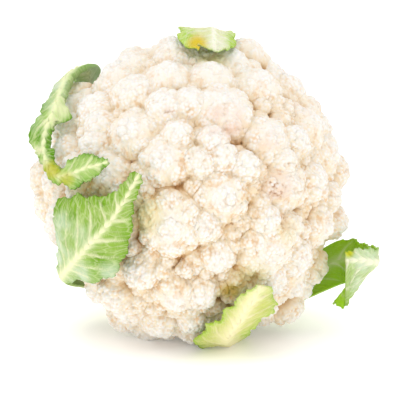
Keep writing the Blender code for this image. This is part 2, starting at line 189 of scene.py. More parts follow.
def lumpsOn(centre, radius):
    turn = Vector(centre).normalized().to_track_quat("Z", "Y")
    kind = "Large" if radius >= curd["largeFrom"] else ""
    size = radius * curd["lumpSize" + kind]
    for tilt, count in curd["lumps" + kind]:
        for i in range(count):
            angle = math.tau * (i + 0.37 * tilt) / count
            tip = Vector((math.cos(angle), math.sin(angle), 0)) * math.sin(math.radians(tilt))
            tip.z = math.cos(math.radians(tilt))
            yield centre + np.array(turn @ tip) * (radius * curd["lumpTop"] - size), size


def headBalls(floors):  # rows of centre x, y, z, radius and the reach of the floret's crown
    rows = []
    for centre, radius in placedFlorets():
        crown = np.linalg.norm(centre) + radius
        if radius > curd["lumpyFrom"]:
            floor = floors[0] if radius >= curd["largeFrom"] else floors[1]
            rows.append((*centre, radius * floor, crown))
            rows.extend((*spot, size, crown) for spot, size in lumpsOn(centre, radius))
        else:
            rows.append((*centre, radius, crown))
    return np.array(rows)


def ballReach(directions, balls):  # how far the balls reach, which one does, and its lead on the next
    reach = np.zeros(len(directions))
    owner = np.zeros(len(directions), int)
    lead = np.zeros(len(directions))
    squares = balls[:, 3] ** 2 - (balls[:, :3] ** 2).sum(1)
    for i in range(0, len(directions), 16384):
        along = directions[i : i + 16384] @ balls[:, :3].T
        inside = squares + along**2
        far = np.where(inside > 0, along + np.sqrt(np.maximum(inside, 0)), 0)
        first = far.argmax(axis=1)
        row = np.arange(len(first))
        most = far[row, first]
        far[row, first] = 0
        owner[i : i + 16384] = first
        reach[i : i + 16384] = most
        lead[i : i + 16384] = most - far.max(axis=1)
    return reach, owner, lead


core = {  # the flesh behind the florets
    "radius": 66,
    "foot": [(46, -37), (36, -44), (26, -50), (20, -50), (10, -50), (0, -50)],  # (from the axis, along it)
    "branches": 6.5,  # waves on half the way round
    "branchHeight": 4,
    "branchRise": (1.75, 2.05),  # angles from the axis, in radians
    "branchFall": (math.pi - 0.4, math.pi - 0.6),
}


def coreReach(directions):  # the core narrows to the stalk, with branches spreading under the rim
    turns = [math.radians(angle) for angle in range(0, 106, 5)]
    profile = [(core["radius"] * math.sin(turn), core["radius"] * math.cos(turn)) for turn in turns]
    profile += core["foot"]
    outer, along = np.array(profile).T
    tilt = np.arccos(np.clip(directions @ axis, -1, 1))
    reach = np.interp(tilt, np.arctan2(outer, along), np.hypot(outer, along))
    azimuth = np.arctan2(directions @ aboveAxis, directions @ right)
    branch = np.abs(np.cos(core["branches"] * azimuth + 0.7 * np.sin(2 * azimuth + 1))) ** 1.4
    under = smoothStep(*core["branchRise"], tilt) * smoothStep(*core["branchFall"], tilt)
    return reach + core["branchHeight"] * branch * under


def scatter(points, spacing, draw):  # a spread of the points with none nearer than the spacing
    tree = kdtree.KDTree(len(points))
    for i, point in enumerate(points):
        tree.insert(point, i)
    tree.balance()
    free = np.ones(len(points), bool)
    kept = []
    for i in draw.permutation(len(points)):
        if free[i]:
            kept.append(i)
            for _, j, _ in tree.find_range(points[i], spacing):
                free[j] = False
    return points[kept]


def nearest(points, seeds):  # how far each point is from its nearest seed, and which one that is
    tree = kdtree.KDTree(len(seeds))
    for i, point in enumerate(seeds):
        tree.insert(point, i)
    tree.balance()
    found = [tree.find(point)[1:] for point in points]
    return np.array([f[1] for f in found]), np.array([f[0] for f in found])


def cap(distance, radius):  # the height, from 0 to 1, of a round bump
    return np.sqrt(np.clip(1 - (distance / radius) ** 2, 0, 1))


def newPiece(name, bm, material, node):
    mesh = bpy.data.meshes.new(name)
    bm.to_mesh(mesh)
    bm.free()
    piece = bpy.data.objects.new(name, mesh)
    bpy.context.scene.collection.objects.link(piece)
    mesh.materials.append(material)
    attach(piece, "root")
    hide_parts(node)
    return piece


def setFloats(mesh, name, values):
    layer = mesh.attributes.new(name, "FLOAT", "POINT")
    layer.data.foreach_set("value", np.asarray(values, np.float32))


def setPlaces(mesh, places):  # places in millimetres from the head's centre, kept in the CAD's box
    inBox = np.clip((places + headCentre) * mm, *cadBox)
    mesh.vertices.foreach_set("co", inBox.astype(np.float32).ravel())
    mesh.update()


patchTurns = {  # the head's surface is made of six patches, as a ball is from a cube's sides
    "front": (right, aboveAxis, axis),
    "right": (aboveAxis, axis, right),
    "left": (axis, aboveAxis, -right),
    "upper": (axis, right, aboveAxis),
    "lower": (right, axis, -aboveAxis),
    "back": (aboveAxis, right, -axis),
}


def curdPatch(name, steps):  # a net on one side of the head, closed by a point at its centre
    first, second, outward = patchTurns[name]
    bm = bmesh.new()
    bmesh.ops.create_grid(bm, x_segments=steps, y_segments=steps, size=1)
    flat = np.array([vert.co[:2] for vert in bm.verts])
    flat = np.tan(flat * math.pi / 4)
    directions = flat[:, :1] * first + flat[:, 1:] * second + outward
    directions /= np.linalg.norm(directions, axis=1)[:, None]
    border = [edge for edge in bm.edges if edge.is_boundary]
    for face in bm.faces:
        face.smooth = True
    for edge in border:
        edge.smooth = False
    made = bmesh.ops.extrude_edge_only(bm, edges=border)["geom"]
    inner = [item for item in made if isinstance(item, bmesh.types.BMVert)]
    bmesh.ops.pointmerge(bm, verts=inner, merge_co=(0, 0, 0))
    return bm, directions


def spotStrength(points, spots):  # spots are (across, above, radius, strength) as the camera sees
    strength = np.zeros(len(points))
    for across, above, radius, most in spots:
        middle = seen(across, above, pose["headRadius"] - 3)
        away = np.linalg.norm(points - middle, axis=1)
        strength = np.maximum(strength, most * smoothStep(radius * 1.3, radius * 0.3, away))
    return strength


def addFilled(balls):  # the small ones that the CAD's head doesn't have
    for across, above, radius, lift in curd["filled"]:
        middle = seen(across, above, pose["headRadius"] - radius + lift)
        balls = np.vstack([balls, (*middle, radius, np.linalg.norm(middle) + radius)])
    return balls


def domes(balls):  # the balls made wider, with their crowns left in place
    least, bySize, byHeight = curd["flatten"]
    widen = least - bySize * balls[:, 3] + byHeight * smoothStep(-10, 60, balls[:, :3] @ up)
    far = np.linalg.norm(balls[:, :3], axis=1)
    balls[:, :3] *= (1 - balls[:, 3] * (widen - 1) / far)[:, None]
    balls[:, 3] *= widen
    return balls


def fillers(draw):  # small balls that close the gaps between the florets
    fill = curd["fillers"]
    directions = sphereDirections(fill["count"])
    directions += draw.normal(0, fill["stray"], directions.shape)
    directions /= np.linalg.norm(directions, axis=1)[:, None]
    directions = directions[directions @ axis > curd["rim"] + 0.03]
    for centre, radius in placedFlorets():
        if radius > curd["lumpyFrom"]:
            far = np.linalg.norm(centre)
            away = np.arccos(np.clip(directions @ centre / far, -1, 1))
            directions = directions[away > fill["clear"] * math.asin(radius / far)]
    radii = draw.uniform(*fill["sizes"], len(directions)) * fill["radius"]
    tops = fill["reach"] + draw.uniform(-fill["uneven"], fill["uneven"], len(directions))
    centres = directions * (tops - radii)[:, None]
    return np.column_stack([centres, radii, np.full(len(radii), float(pose["headRadius"]))])


def shapedPatch(name, balls):  # one side of the curd as its balls make it, before the buds
    steps = curd["grid"][name]
    bm, directions = curdPatch(name, steps)
    reach, owner, lead = ballReach(directions, balls)
    inner = coreReach(directions)
    grown = (reach > inner).astype(float)
    lead = np.minimum(lead, np.abs(reach - inner))
    reach = np.maximum(reach, inner)
    reach = reach + np.maximum(curd["soft"] - lead, 0) ** 2 / (4 * curd["soft"])
    places = directions * reach[:, None]
    outward = np.where(grown[:, None] > 0, places - balls[owner, :3], directions)
    outward /= np.linalg.norm(outward, axis=1)[:, None]
    outward = outward * 0.5 + directions * 0.5
    outward /= np.linalg.norm(outward, axis=1)[:, None]
    sunk = np.where(grown > 0, balls[owner, 4] - reach, pose["headRadius"] - reach)
    return dict(bm=bm, directions=directions, places=places, outward=outward, sunk=sunk, grown=grown,
                free=grown * smoothStep(0, curd["seam"], lead),
                creaseShade=grown * smoothStep(curd["creaseShade"], 0, lead))  # fmt: skip


def raiseBumps(kind, spacing, height, wide, middle, uneven):  # round bumps, each its own height
    everyPlace = np.vstack([p["places"] for p in patches.values()])
    grown = np.concatenate([p["grown"] for p in patches.values()]) > 0
    spots = scatter(everyPlace[grown], spacing, draw)
    lift = draw.uniform(1 - uneven, 1 + uneven, len(spots))
    for patch in patches.values():
        away, number = nearest(patch["places"], spots)
        patch[kind] = cap(away, spacing * wide) * patch["grown"]
        calm = 1 - curd["calm"] * smoothStep(0.2, 0.9, patch["outward"][:, 2])
        rise = (patch[kind] * lift[number] - middle) * height * patch["free"] * calm
        patch["places"] = patch["places"] + patch["outward"] * rise[:, None]
    print("head: %d %ss" % (len(spots), kind))


print("head: florets")
solidBalls = headBalls((curd["lumpFloor"], curd["lumpFloor"]))
solidBalls[:, 3] *= curd["solidSwell"]
draw = np.random.default_rng(curd["seed"])
allBalls = np.vstack([domes(addFilled(headBalls(curd["domeFloor"]))), fillers(draw)])
patches = {name: shapedPatch(name, allBalls) for name in patchTurns}
print("head: buds and beads")
raiseBumps("bud", **curd["bud"])
raiseBumps("bead", **curd["bead"])


# Materials


def newMaterial(name, roughness, subsurface, subsurfaceRadius, scale):
    material = bpy.data.materials.new(name)
    material.use_nodes = True
    tree = material.node_tree
    shader = tree.nodes["Principled BSDF"]
    shader.inputs["Roughness"].default_value = roughness
    shader.inputs["Metallic"].default_value = 0
    shader.inputs["Subsurface Weight"].default_value = subsurface
    shader.inputs["Subsurface Radius"].default_value = subsurfaceRadius
    shader.inputs["Subsurface Scale"].default_value = scale
    return material, tree, shader


def addNode(tree, kind, **values):
    node = tree.nodes.new(kind)
    for key, value in values.items():
        if key in node.inputs:
            node.inputs[key].default_value = value
        else:
            setattr(node, key, value)
    return node


def mixColour(tree, factor, first, second, blend="MIX"):
    node = tree.nodes.new("ShaderNodeMix")
    node.data_type = "RGBA"
    node.blend_type = blend
    for index, value in ((0, factor), (6, first), (7, second)):
        if isinstance(value, bpy.types.NodeSocket):
            tree.links.new(value, node.inputs[index])
        elif index == 0:
            node.inputs[index].default_value = value
        else:
            node.inputs[index].default_value = (*value, 1)
    return node.outputs[2]


def maths(tree, operation, first, second, clamp=False):
    node = tree.nodes.new("ShaderNodeMath")
    node.operation = operation
    node.use_clamp = clamp
    for index, value in enumerate((first, second)):
        if isinstance(value, bpy.types.NodeSocket):
            tree.links.new(value, node.inputs[index])
        else:
            node.inputs[index].default_value = value
    return node.outputs[0]


def attributeValue(tree, name):
    node = tree.nodes.new("ShaderNodeAttribute")
    node.attribute_name = name
    return node.outputs["Fac"]


def newGroup(name, takes, gives):
    group = bpy.data.node_groups.new(name, "ShaderNodeTree")
    for label, kind in takes:
        group.interface.new_socket(label, in_out="INPUT", socket_type="NodeSocket" + kind)
    for label, kind in gives:
        group.interface.new_socket(label, in_out="OUTPUT", socket_type="NodeSocket" + kind)
    return group, group.nodes.new("NodeGroupInput"), group.nodes.new("NodeGroupOutput")


def makeMottle():  # soft patches: 0 below Low and 1 above High of an even noise
    group, entry, out = newGroup(
        "mottle", [("Place", "Vector"), ("Scale", "Float"), ("Low", "Float"), ("High", "Float")],
        [("Amount", "Float")])  # fmt: skip
    noise = addNode(group, "ShaderNodeTexNoise", Detail=3.0, Roughness=0.55)
    steps = addNode(group, "ShaderNodeMapRange", interpolation_type="SMOOTHSTEP")
    group.links.new(entry.outputs["Place"], noise.inputs["Vector"])
    group.links.new(entry.outputs["Scale"], noise.inputs["Scale"])
    group.links.new(noise.outputs["Fac"], steps.inputs["Value"])
    group.links.new(entry.outputs["Low"], steps.inputs["From Min"])
    group.links.new(entry.outputs["High"], steps.inputs["From Max"])
    group.links.new(steps.outputs["Result"], out.inputs["Amount"])
    return group


def makeCells():  # close-packed cells: Lines is 1 on their borders, Height is highest mid-cell
    group, entry, out = newGroup(
        "cells", [("Place", "Vector"), ("Scale", "Float"), ("Width", "Float"), ("Warp", "Float")],
        [("Lines", "Float"), ("Height", "Float")])  # fmt: skip
    noise = addNode(group, "ShaderNodeTexNoise", Detail=2.0)
    shift = addNode(group, "ShaderNodeVectorMath", operation="MULTIPLY_ADD")
    cell = addNode(group, "ShaderNodeTexVoronoi", feature="DISTANCE_TO_EDGE")
    lines = addNode(group, "ShaderNodeMapRange", interpolation_type="SMOOTHSTEP")
    lines.inputs["To Min"].default_value = 1
    lines.inputs["To Max"].default_value = 0
    group.links.new(entry.outputs["Place"], noise.inputs["Vector"])
    group.links.new(entry.outputs["Scale"], noise.inputs["Scale"])
    group.links.new(noise.outputs["Color"], shift.inputs[0])
    group.links.new(entry.outputs["Warp"], shift.inputs[1])
    group.links.new(entry.outputs["Place"], shift.inputs[2])
    group.links.new(shift.outputs[0], cell.inputs["Vector"])
    group.links.new(entry.outputs["Scale"], cell.inputs["Scale"])
    group.links.new(cell.outputs["Distance"], lines.inputs["Value"])
    group.links.new(entry.outputs["Width"], lines.inputs["From Max"])
    group.links.new(lines.outputs["Result"], out.inputs["Lines"])
    group.links.new(cell.outputs["Distance"], out.inputs["Height"])
    return group


mottle = makeMottle()
cells = makeCells()


def placed(tree, group, attribute=None, **values):  # a group, reading the piece's own coordinates
    node = tree.nodes.new("ShaderNodeGroup")
    node.node_tree = group
    for key, value in values.items():
        node.inputs[key].default_value = value
    if attribute:
        place = addNode(tree, "ShaderNodeAttribute", attribute_name=attribute).outputs["Vector"]
    else:
        place = tree.nodes.new("ShaderNodeTexCoord").outputs["Object"]
    tree.links.new(place, node.inputs["Place"])
    return node.outputs


def bumpInto(tree, shader, height, strength, distance):
    bump = tree.nodes.new("ShaderNodeBump")
    bump.inputs["Strength"].default_value = strength
    bump.inputs["Distance"].default_value = distance
    tree.links.new(height, bump.inputs["Height"])
    tree.links.new(bump.outputs["Normal"], shader.inputs["Normal"])


def curdMaterial():
    look = {
        "cream": (0.885, 0.88, 0.865),
        "shade": (0.87, 0.81, 0.72),
        # The next four colours are painted shade: for the crevices between beads, for dots in them, for the
        # gaps and for the deepest gaps.
        "between": (0.88, 0.75, 0.54),
        "speckShade": (0.72, 0.43, 0.19),
        "hollowShade": (0.79, 0.57, 0.30),
        "deep": (0.46, 0.24, 0.09),
        "bruise": (0.80, 0.58, 0.45),
        "rot": (0.34, 0.16, 0.09),
        "young": (0.90, 0.82, 0.36),
        "gold": (0.50, 0.31, 0.04),
    }
    material, tree, shader = newMaterial("curd", 0.6, 0.15, (1.0, 0.75, 0.5), 0.0015)
    shader.inputs["Specular IOR Level"].default_value = 0.2
    gap = attributeValue(tree, "gap")
    grains = placed(tree, cells, Scale=1100, Width=0.3, Warp=0.0003)
    patchy = placed(tree, mottle, Scale=42, Low=0.42, High=0.66)["Amount"]
    specked = placed(tree, mottle, Scale=210, Low=0.5, High=0.64)["Amount"]
    colour = mixColour(tree, maths(tree, "MULTIPLY", patchy, 0.4), look["cream"], look["shade"])
    # Painted shade in the crevices between beads and buds and in the creases between florets, weaker on
    # faces turned up, which is painted light from above.
    between = maths(tree, "MULTIPLY", attributeValue(tree, "between"), 0.85, True)
    colour = mixColour(tree, between, colour, look["between"])
    # Darker orange dots only where the crevice shade lies: more painted shade.
    specks = maths(tree, "MULTIPLY", between, specked)
    colour = mixColour(tree, maths(tree, "MULTIPLY", specks, 0.75), colour, look["speckShade"])
    # Painted shade in the gaps between florets: a warm hollow colour, and dark brown where they are
    # deepest.
    colour = mixColour(tree, maths(tree, "MULTIPLY", gap, 1.1, True), colour, look["hollowShade"])
    dark = maths(tree, "MULTIPLY", maths(tree, "SUBTRACT", gap, 0.45), 2.4, True)
    colour = mixColour(tree, dark, colour, look["deep"])
    bruised = placed(tree, mottle, Scale=110, Low=0.3, High=0.7)["Amount"]
    bruise = maths(tree, "MULTIPLY", attributeValue(tree, "bruise"), bruised, True)
    colour = mixColour(tree, bruise, colour, look["bruise"])
    rot = maths(tree, "MULTIPLY", attributeValue(tree, "rot"), specks)
    colour = mixColour(tree, maths(tree, "MULTIPLY", rot, 1.6, True), colour, look["rot"])
    colour = mixColour(tree, attributeValue(tree, "young"), colour, look["young"], "MULTIPLY")
    colour = mixColour(tree, attributeValue(tree, "gold"), colour, look["gold"])
    tree.links.new(colour, shader.inputs["Base Color"])
    bumpInto(tree, shader, grains["Height"], 0.25, 0.0003)
    return material


curdMarks = {  # (across, above, radius, strength) in the camera's view
    "bruise": [(19, 37, 13, 0.8), (48, 2, 10, 0.7), (42, 25, 9, 0.4), (62, 45, 7, 0.4),
               (-12, 42, 6, 0.4), (53, -17, 7, 0.5), (-86, 8, 8, 0.5)],
    "rot": [(48, 2, 7, 0.65), (-12, 42, 4, 0.6), (53, -17, 4, 0.7), (43, -47, 2, 0.8)],
    "young": [(-24, -14, 12, 0.6), (-58, 4, 12, 0.6), (12, 72, 9, 0.6), (33, -48, 12, 0.5),
              (23, -57, 8, 1), (72, -38, 14, 0.4), (-66, 50, 12, 0.6), (-50, -4, 10, 0.5),
              (52, -22, 9, 0.3)],
    "gold": [(23, -57, 6, 0.75), (29, -53, 4, 0.5)],
}  # fmt: skip
curdTints = {
    "stem": (-0.58, -0.45),  # shares of the axis between which the florets give way to the branches
    "gap": (3, 14),  # depths under the crown where the painted shade of a gap begins and is full
    "shade": (0, 4),
    "creaseShade": (0, 5),
    "stemTint": 0.35,
}


def curdMasks(patch):  # how strongly each colour lies on each point
    masks = {label: spotStrength(patch["places"], spots) for label, spots in curdMarks.items()}
    sunk, facingUp = patch["sunk"], patch["outward"][:, 2]
    stem = 1 - smoothStep(*curdTints["stem"], patch["directions"] @ axis)
    # Painted shade: the gap colours grow with the depth under the floret's crown.
    masks["gap"] = smoothStep(*curdTints["gap"], sunk) * (1 - stem)
    # Painted shade between beads and buds, stronger where the surface lies sunk and at the creases where
    # florets meet, weaker on faces turned up (painted light from above).
    between = 1 - patch["bead"] * (0.45 + 0.55 * patch["bud"])
    between = between**1.5 * (0.5 + 0.5 * smoothStep(*curdTints["shade"], sunk))
    creaseShade = patch["creaseShade"] * (0.25 + 0.75 * smoothStep(*curdTints["creaseShade"], sunk))
    between = np.maximum(between, creaseShade) * (1 - stem)
    masks["between"] = between * (1 - 0.4 * smoothStep(0.1, 0.9, facingUp))
    masks["young"] = np.maximum(masks["young"], stem * curdTints["stemTint"])
    return masks


curdLook = curdMaterial()
for name, patch in patches.items():
    places = patch["places"].copy()
    places[:, 2] = np.maximum(places[:, 2], -headCentre[2])
    mesh = newPiece("curd_" + name, patch["bm"], curdLook, "head").data
    setPlaces(mesh, np.vstack([places, np.zeros((1, 3))]))
    for label, values in curdMasks(patch).items():
        setFloats(mesh, label, np.append(values, 0))
print("head: done")


# The leaves: a middle surface round a rib, given its thickness, with veins standing out

foot = [(21.5, -60), (40, -59), (61, -51), (78, -35)]
outerFoot = [(21.5, -73), (40, -71), (62, -60), (80, -41)]
leafShape = {
    "hug": 90.72,  # the radius that a blade bends round the head with
    "blade": 1.2,
    "ribHeight": (7, 5),  # at the foot, and how much less at the tip
    "ribWidth": (10, 8.2),
    "thickest": 8,
    "clearance": 2.6,
    "finer": (10, 6),  # rows and columns for each one of the CAD's
    "finerQuick": (4, 3),
    "finerShort": (3, 3),
    "freeFrom": 0.35,  # the share of the leaf from which its blade is loose and toothed
    "saw": (1.3, 2.9),  # how deep and how far apart the small teeth are
    "pucker": 0.35,
    "frill": 1.1,
    "sideVeins": 13,  # how far apart they leave the rib
    "fineVeins": 2.4,
    "veinRelief": 0.75,
}

leaves = {
    "leaf_left_large": {
        "way": alongAxis(212, outerFoot[:2])
        + inSight([(-56, -49, -38), (-67, -47, -14), (-68, -46, 18)])
        + spread([(-62, -38, 90), (-53, -28, 92), (-43, -17, 92), (-34, -3, 92), (-28, 9, 91)]),
        "widths": [(0, 9.5, 9.5), (0.2, 11, 11), (0.33, 8, 8), (0.44, 5, 6), (0.49, 8, 13),
                   (0.555, 17, 26), (0.61, 21, 32), (0.667, 22, 30), (0.72, 18, 26), (0.778, 14, 20),
                   (0.84, 9, 11), (0.889, 5, 7.5), (0.95, 4, 6), (1, 2, 3)],
        "grid": (22, 8), "ruffle": 1.6, "waves": 5, "teeth": 0.1,
    },
    "leaf_upper_left": {
        "way": alongAxis(136, outerFoot)
        + inSight([(-60, 52, -48), (-58, 66, -18), (-66, 61, 8)])
        + spread([(-73, 46, 91), (-79, 31, 91), (-79, 18, 90), (-74, 9, 90), (-68, 8, 91),
                  (-57, 12, 92), (-45, 15.5, 93)]),
        "outside": [(0.35, -0.6, 0.8, -0.2), (0.5, -0.4, 0.5, 0.8), (0.7, -0.5, 0.1, 0.85),
                    (0.85, -0.5, 0, 0.9), (1, -0.4, 0, 1)],
        "widths": [(0, 9.5, 9.5), (0.25, 12, 12), (0.36, 9, 9), (0.4, 7, 5), (0.49, 9, 4),
                   (0.53, 10, 4), (0.56, 10, 12), (0.585, 10, 4), (0.61, 12, 4), (0.63, 13, 4),
                   (0.66, 7, 4), (0.69, 5, 7), (0.72, 4, 4), (0.78, 6, 5), (0.82, 4, 4),
                   (0.87, 9, 8), (0.91, 8, 9), (0.95, 6, 7), (1, 2, 2)],
        "grid": (30, 6), "ruffle": 0.6, "waves": 6, "teeth": 0.1,
    },
    "leaf_top": {
        "way": alongAxis(84, outerFoot)
        + alongAxis(82, [(89, -10)])
        + inSight([(12.5, 85, -28), (12.5, 87, 2), (12.5, 82, 28), (13, 73, 49)]),
        "widths": [(0, 9.5, 9.5), (0.3, 13, 13), (0.65, 15, 13), (0.82, 20, 13), (0.93, 20, 13),
                   (1, 9, 7)],
        "grid": (18, 8), "ruffle": 1, "waves": 4, "teeth": 0.14,
        "notches": [(-0.6, 0.24, 10), (-0.1, 0.3, 4), (0.72, 0.24, 6)],
    },
    "leaf_right": {
        "way": alongAxis(326, foot[:3])
        + inSight([(84, -40, -24), (94, -39, -16), (101, -39, -4), (101, -39, 10), (93, -38, 17),
                 (84, -38, 20)]),
        "hug": 400,
        "outside": [(0.2, 0.5, -0.6, -0.6), (0.37, 0.8, -0.2, -0.8), (0.5, 1, 0, -0.5),
                    (0.75, 0.8, 0, 0.8), (1, 0.2, 0, 1)],
        "widths": [(0, 9.5, 9.5), (0.25, 12, 12), (0.37, 12, 14), (0.45, 12, 15), (0.54, 10, 17),
                   (0.62, 9, 18), (0.75, 8, 22), (0.9, 7, 27), (1, 5, 25)],
        "slant": [(0.45, 0), (0.68, 0.75), (0.8, 0.7), (1, 0)],
        "grid": (22, 8), "ruffle": 0.7, "waves": 3, "teeth": 0.08,
    },
    "leaf_bottom": {
        "way": alongAxis(286, [(21.5, -73), (40, -66), (61, -53), (78, -36)])
        + spread([(20, -80.5, 89), (26, -72, 90.5), (32, -62.5, 91.5), (39, -52.5, 92)]),
        "widths": [(0, 9.5, 9.5), (0.3, 10, 12), (0.45, 12, 18), (0.571, 14, 18), (0.65, 16, 15.5),
                   (0.76, 20, 12), (0.84, 21, 9), (0.92, 17, 7), (1, 9, 4)],
        "grid": (18, 8), "ruffle": 0.8, "waves": 4, "teeth": 0.14,
    },
}  # fmt: skip

shortWays = {
    "leaf_back_right": alongAxis(5, outerFoot),
    "leaf_back_upper_right": alongAxis(45, foot),
    "leaf_back_top": alongAxis(113, foot),
    "leaf_back_left": alongAxis(180, foot),
    "leaf_back_bottom": alongAxis(251.5, [(21.5, -60), (36, -65), (51, -70)]),
}
for name, way in shortWays.items():
    leaves[name] = {
        "way": way,
        "widths": [(0, 9.5, 9.5), (0.4, 11, 11), (1, 13, 13)],
        "grid": (8, 6), "ruffle": 0, "waves": 1, "teeth": 0.08,
    }  # fmt: skip

# Colours of the outer face, of its margin, of the inner face and of the veins, the rib's width at the
# foot and at the tip, and places that are frosted, light, dark or yellow, as (across, above, radius,
# strength) in the camera's view.
leafLooks = {
    "leaf_left_large": {
        "outer": (0.27, 0.46, 0.05), "margin": (0.17, 0.36, 0.01), "inner": (0.15, 0.32, 0.01),
        "pale": (0.84, 0.84, 0.54), "rib": (5.5, 0.9),
        "frost": [(-77, -25, 12, 0.9), (-74, -36, 10, 0.8), (-70, -18, 7, 0.6), (-60, -47, 9, 0.7),
                  (-44, -48, 9, 0.6), (-58, -25, 9, 0.4)],
        "dark": [(-70, -13, 4, 0.9), (-64, -14, 4, 0.9), (-54, -19, 5, 0.5), (-47, -5, 6, 0.8),
                 (-30, 4, 5, 0.8), (-50, -39, 6, 0.7), (-33, -25, 6, 0.5), (-74, -8, 4, 0.8)],
    },
    "leaf_upper_left": {
        "outer": (0.34, 0.54, 0.12), "margin": (0.12, 0.32, 0.005), "inner": (0.24, 0.38, 0.13),
        "pale": (0.80, 0.83, 0.50), "rib": (5, 0.8), "gold": (0.50, 0.48, 0.01),
        "frost": [(-52, 67, 7, 0.9), (-73, 57, 6, 0.7), (-78, 49, 6, 0.7), (-85, 38, 6, 0.5)],
        "light": [(-58, 63, 6, 0.9), (-62, 57, 6, 0.9), (-66, 50, 6, 0.9), (-70, 44, 5, 0.8),
                  (-74, 37, 4, 0.7), (-84, 22, 3, 0.9), (-81, 14, 3, 0.8)],
        "dark": [(-89, 33, 7, 1), (-84, 47, 6, 0.7), (-80, 29, 7, 1), (-77, 20, 5, 0.9),
                 (-82, 10, 4, 0.8), (-47, 15, 4, 0.6), (-60, 2, 5, 0.5)],
        "yellow": [(-76, 11, 6, 0.8), (-68, 6, 5, 0.6)],
    },
    "leaf_top": {
        "outer": (0.72, 0.76, 0.36), "margin": (0.42, 0.64, 0.06), "inner": (0.25, 0.45, 0.03),
        "pale": (0.88, 0.88, 0.74), "dark": [(25, 83, 6, 1), (-1, 84, 5, 0.8)],
        "light": [(15, 80, 6, 0.7)],
        "yellow": [(4, 80, 6, 1)], "gold": (0.74, 0.56, 0.03), "rib": (4, 1),
    },
    "leaf_right": {
        "outer": (0.42, 0.58, 0.18), "margin": (0.26, 0.46, 0.06), "inner": (0.29, 0.56, 0.001),
        "pale": (0.82, 0.83, 0.62), "frost": [(96, -38, 9, 0.7), (92, -52, 6, 0.5)],
        "dark": [(80, -62, 6, 0.5)], "yellow": [(87.5, -34.5, 3, 1)],
    },
    "leaf_bottom": {
        "outer": (0.60, 0.64, 0.17), "margin": (0.34, 0.56, 0.04), "inner": (0.4, 0.55, 0.06),
        "pale": (0.86, 0.80, 0.52), "dark": [(36, -54, 5, 0.8), (33, -82, 6, 0.6)], "rib": (7, 5),
    },
    "short": {
        "outer": (0.30, 0.50, 0.13), "margin": (0.2, 0.42, 0.05), "inner": (0.2, 0.42, 0.05),
        "pale": (0.74, 0.82, 0.52),
    },
}  # fmt: skip


def catmullRom(knots, share):  # the place at this share of a smooth curve through the knots
    spans = len(knots) - 1
    at = min(share, 1 - 1e-9) * spans
    i = int(at)
    t = at - i
    before = knots[i - 1] if i > 0 else knots[0] * 2 - knots[1]
    after = knots[i + 2] if i + 2 <= spans else knots[-1] * 2 - knots[-2]
    a, b = knots[i], knots[i + 1]
    return 0.5 * (
        2 * a + (b - before) * t
        + (2 * before - 5 * a + 4 * b - after) * t**2
        + (3 * (a - b) + after - before) * t**3
    )  # fmt: skip


def blendRows(rows, share):  # rows are (share, values), and it passes smoothly from one to the next
    for (a, *low), (b, *high) in zip(rows, rows[1:]):
        if share <= b:
            t = max(share - a, 0) / (b - a)
            t = t * t * (3 - 2 * t)
            return [p + (q - p) * t for p, q in zip(low, high)]
    return rows[-1][1:]


def leafThickness(share, offset):  # a thin blade with a thick rib, which fades towards the tip
    ribHeight, lessHigh = leafShape["ribHeight"]
    ribWidth, lessWide = leafShape["ribWidth"]
    thin = leafShape["blade"]
    high = max(ribHeight - lessHigh * share - thin, 0)
    return thin + high * math.exp(-((offset / (ribWidth - lessWide * share)) ** 2) * 1.6)


def leafFrame(leaf, share):  # the rib's place, and the ways across and out of the leaf there
    at = catmullRom(leaf["way"], share)
    ahead = catmullRom(leaf["way"], min(share + 0.01, 1))
    behind = catmullRom(leaf["way"], max(share - 0.01, 0))
    along = (ahead - behind) / np.linalg.norm(ahead - behind)
    outside = at / np.linalg.norm(at)
    if share > leaf.get("outside", [(1,)])[0][0]:
        hint = blendRows(leaf["outside"], share)
        outside = right * hint[0] + up * hint[1] + toward * hint[2]
    side = np.cross(outside, along)
    side /= np.linalg.norm(side)
    return at, side, np.cross(along, side)


def leafHalves(leaf, share, length, fine):  # how wide the leaf is on the two sides of its rib
    ripple = 1 - math.cos(math.pi * share * leaf["grid"][0])
    tooth = 1 - leaf["teeth"] * 0.5 * ripple * (share > 0.4)
    left, rightHalf = (half * tooth for half in blendRows(leaf["widths"], share))
    if fine and leaf["ruffle"]:
        depth, pitch = leafShape["saw"]
        turn = math.tau * length / pitch
        cut = depth * smoothStep(leafShape["freeFrom"], 0.5, share)
        left -= cut * (0.5 + 0.3 * math.sin(turn) + 0.2 * math.sin(turn * 0.43))
        rightHalf -= cut * (0.5 + 0.3 * math.sin(turn + 2) + 0.2 * math.sin(turn * 0.37))
    elif fine:
        rounded = 1 - 0.5 * smoothStep(0.7, 1, share)
        left, rightHalf = left * rounded, rightHalf * rounded
    return left, rightHalf


def leafLift(leaf, share, length, cross, offset, fine):  # waves, frills and puckers of the blade
    loose = min(max((share - leafShape["freeFrom"]) * 4, 0), 1)
    wave = math.sin(math.tau * leaf["waves"] * share + (2.1 if cross > 0 else 0))
    lift = leaf["ruffle"] * wave * abs(cross) ** 2 * loose
    if fine:
        step = share * leaf["grid"][0]
        frill = math.sin(step * 5.1 + cross) * math.sin(step * 2.3)
        fold = math.sin(length * 1.3 - abs(offset) * 0.9) * math.sin(offset * 1.1 + 1)
        rise = leafShape["frill"] * frill * abs(cross) ** 3 + leafShape["pucker"] * fold
        lift += rise * loose * min(leaf["ruffle"] * 2, 1)
    return lift


def notch(grids, notches, crosses, length):  # draws the tip back by (place across, width, depth)
    fine = np.arange(len(crosses))
    for j, cross in enumerate(crosses[0]):
        short = sum(deep * math.exp(-(((cross - at) / wide) ** 2)) for at, wide, deep in notches)
        kept = fine * (1 - short / length * smoothStep(0.7, 1, fine / fine[-1]))
        for grid in grids:
            grid[:, j] = np.interp(kept, fine, grid[:, j])


